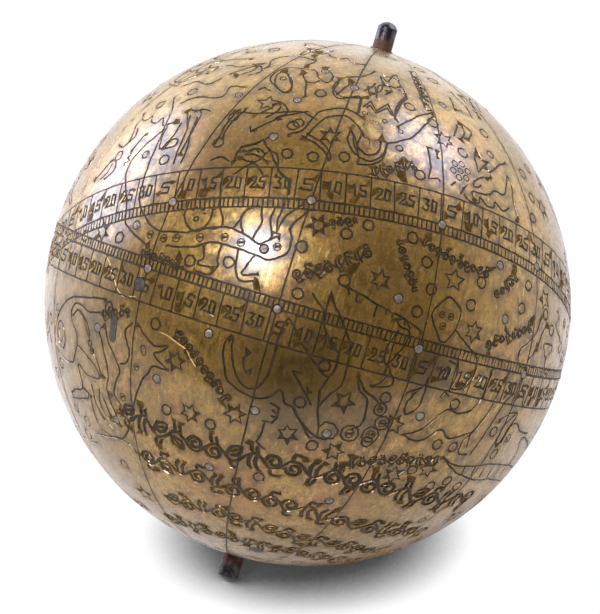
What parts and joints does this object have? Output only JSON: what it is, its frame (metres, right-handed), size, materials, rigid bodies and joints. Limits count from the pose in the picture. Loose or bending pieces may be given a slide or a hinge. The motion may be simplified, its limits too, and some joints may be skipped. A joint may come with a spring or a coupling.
{
  "type": "celestial globe",
  "caption": "Hollow engraved brass celestial globe with silver star pegs, turning on an iron axle whose two rounded ends stand out at the poles.",
  "frame": {"origin": "centre of the globe, on the axle's axis", "axes": "+Z along the axle to the north celestial pole; +X towards the autumn equinox and -X towards the spring equinox on the equator, so -Y faces the summer solstice side"},
  "size_m": [0.1604, 0.1602, 0.178],
  "materials": {
    "brass": "old hand-polished brass, engraved, with dark patina in the cut lines and in patches",
    "bronze": "turned bronze, worn",
    "silver": "dull tarnished silver, hammered to a low crown",
    "iron": "forged iron, dark, with brown rust and handled shine",
    "steel": "drawn steel wire",
    "solder": "dark grey soft-solder filling, dressed flush"
  },
  "bodies": {
    "axle": {"axle": "iron", "north_collar": "iron", "south_collar": "iron", "north_collar_pin": "steel", "south_collar_pin": "steel", "north_washer": "bronze", "south_washer": "bronze"},
    "globe": {"north_bush": "bronze", "south_bush": "bronze", "north_shell": "brass", "south_shell": "brass", "lap_ring": "brass", "equinox_pegs": "silver", "equator_pegs": "silver", "ecliptic_pegs": "silver", "north_bright_star_pegs": "silver", "north_faint_star_pegs": "silver", "south_bright_star_pegs": "silver", "south_faint_star_pegs": "silver", "round_repair_plug": "solder", "oval_repair_patch": "solder", "south_repair_plug": "solder"}
  },
  "joints": [
    {"name": "globe_spin", "type": "hinge", "parent": "axle", "child": "globe", "pos_m": [0, 0, 0], "axis": [0, 0, 1], "continuous": true}
  ]
}
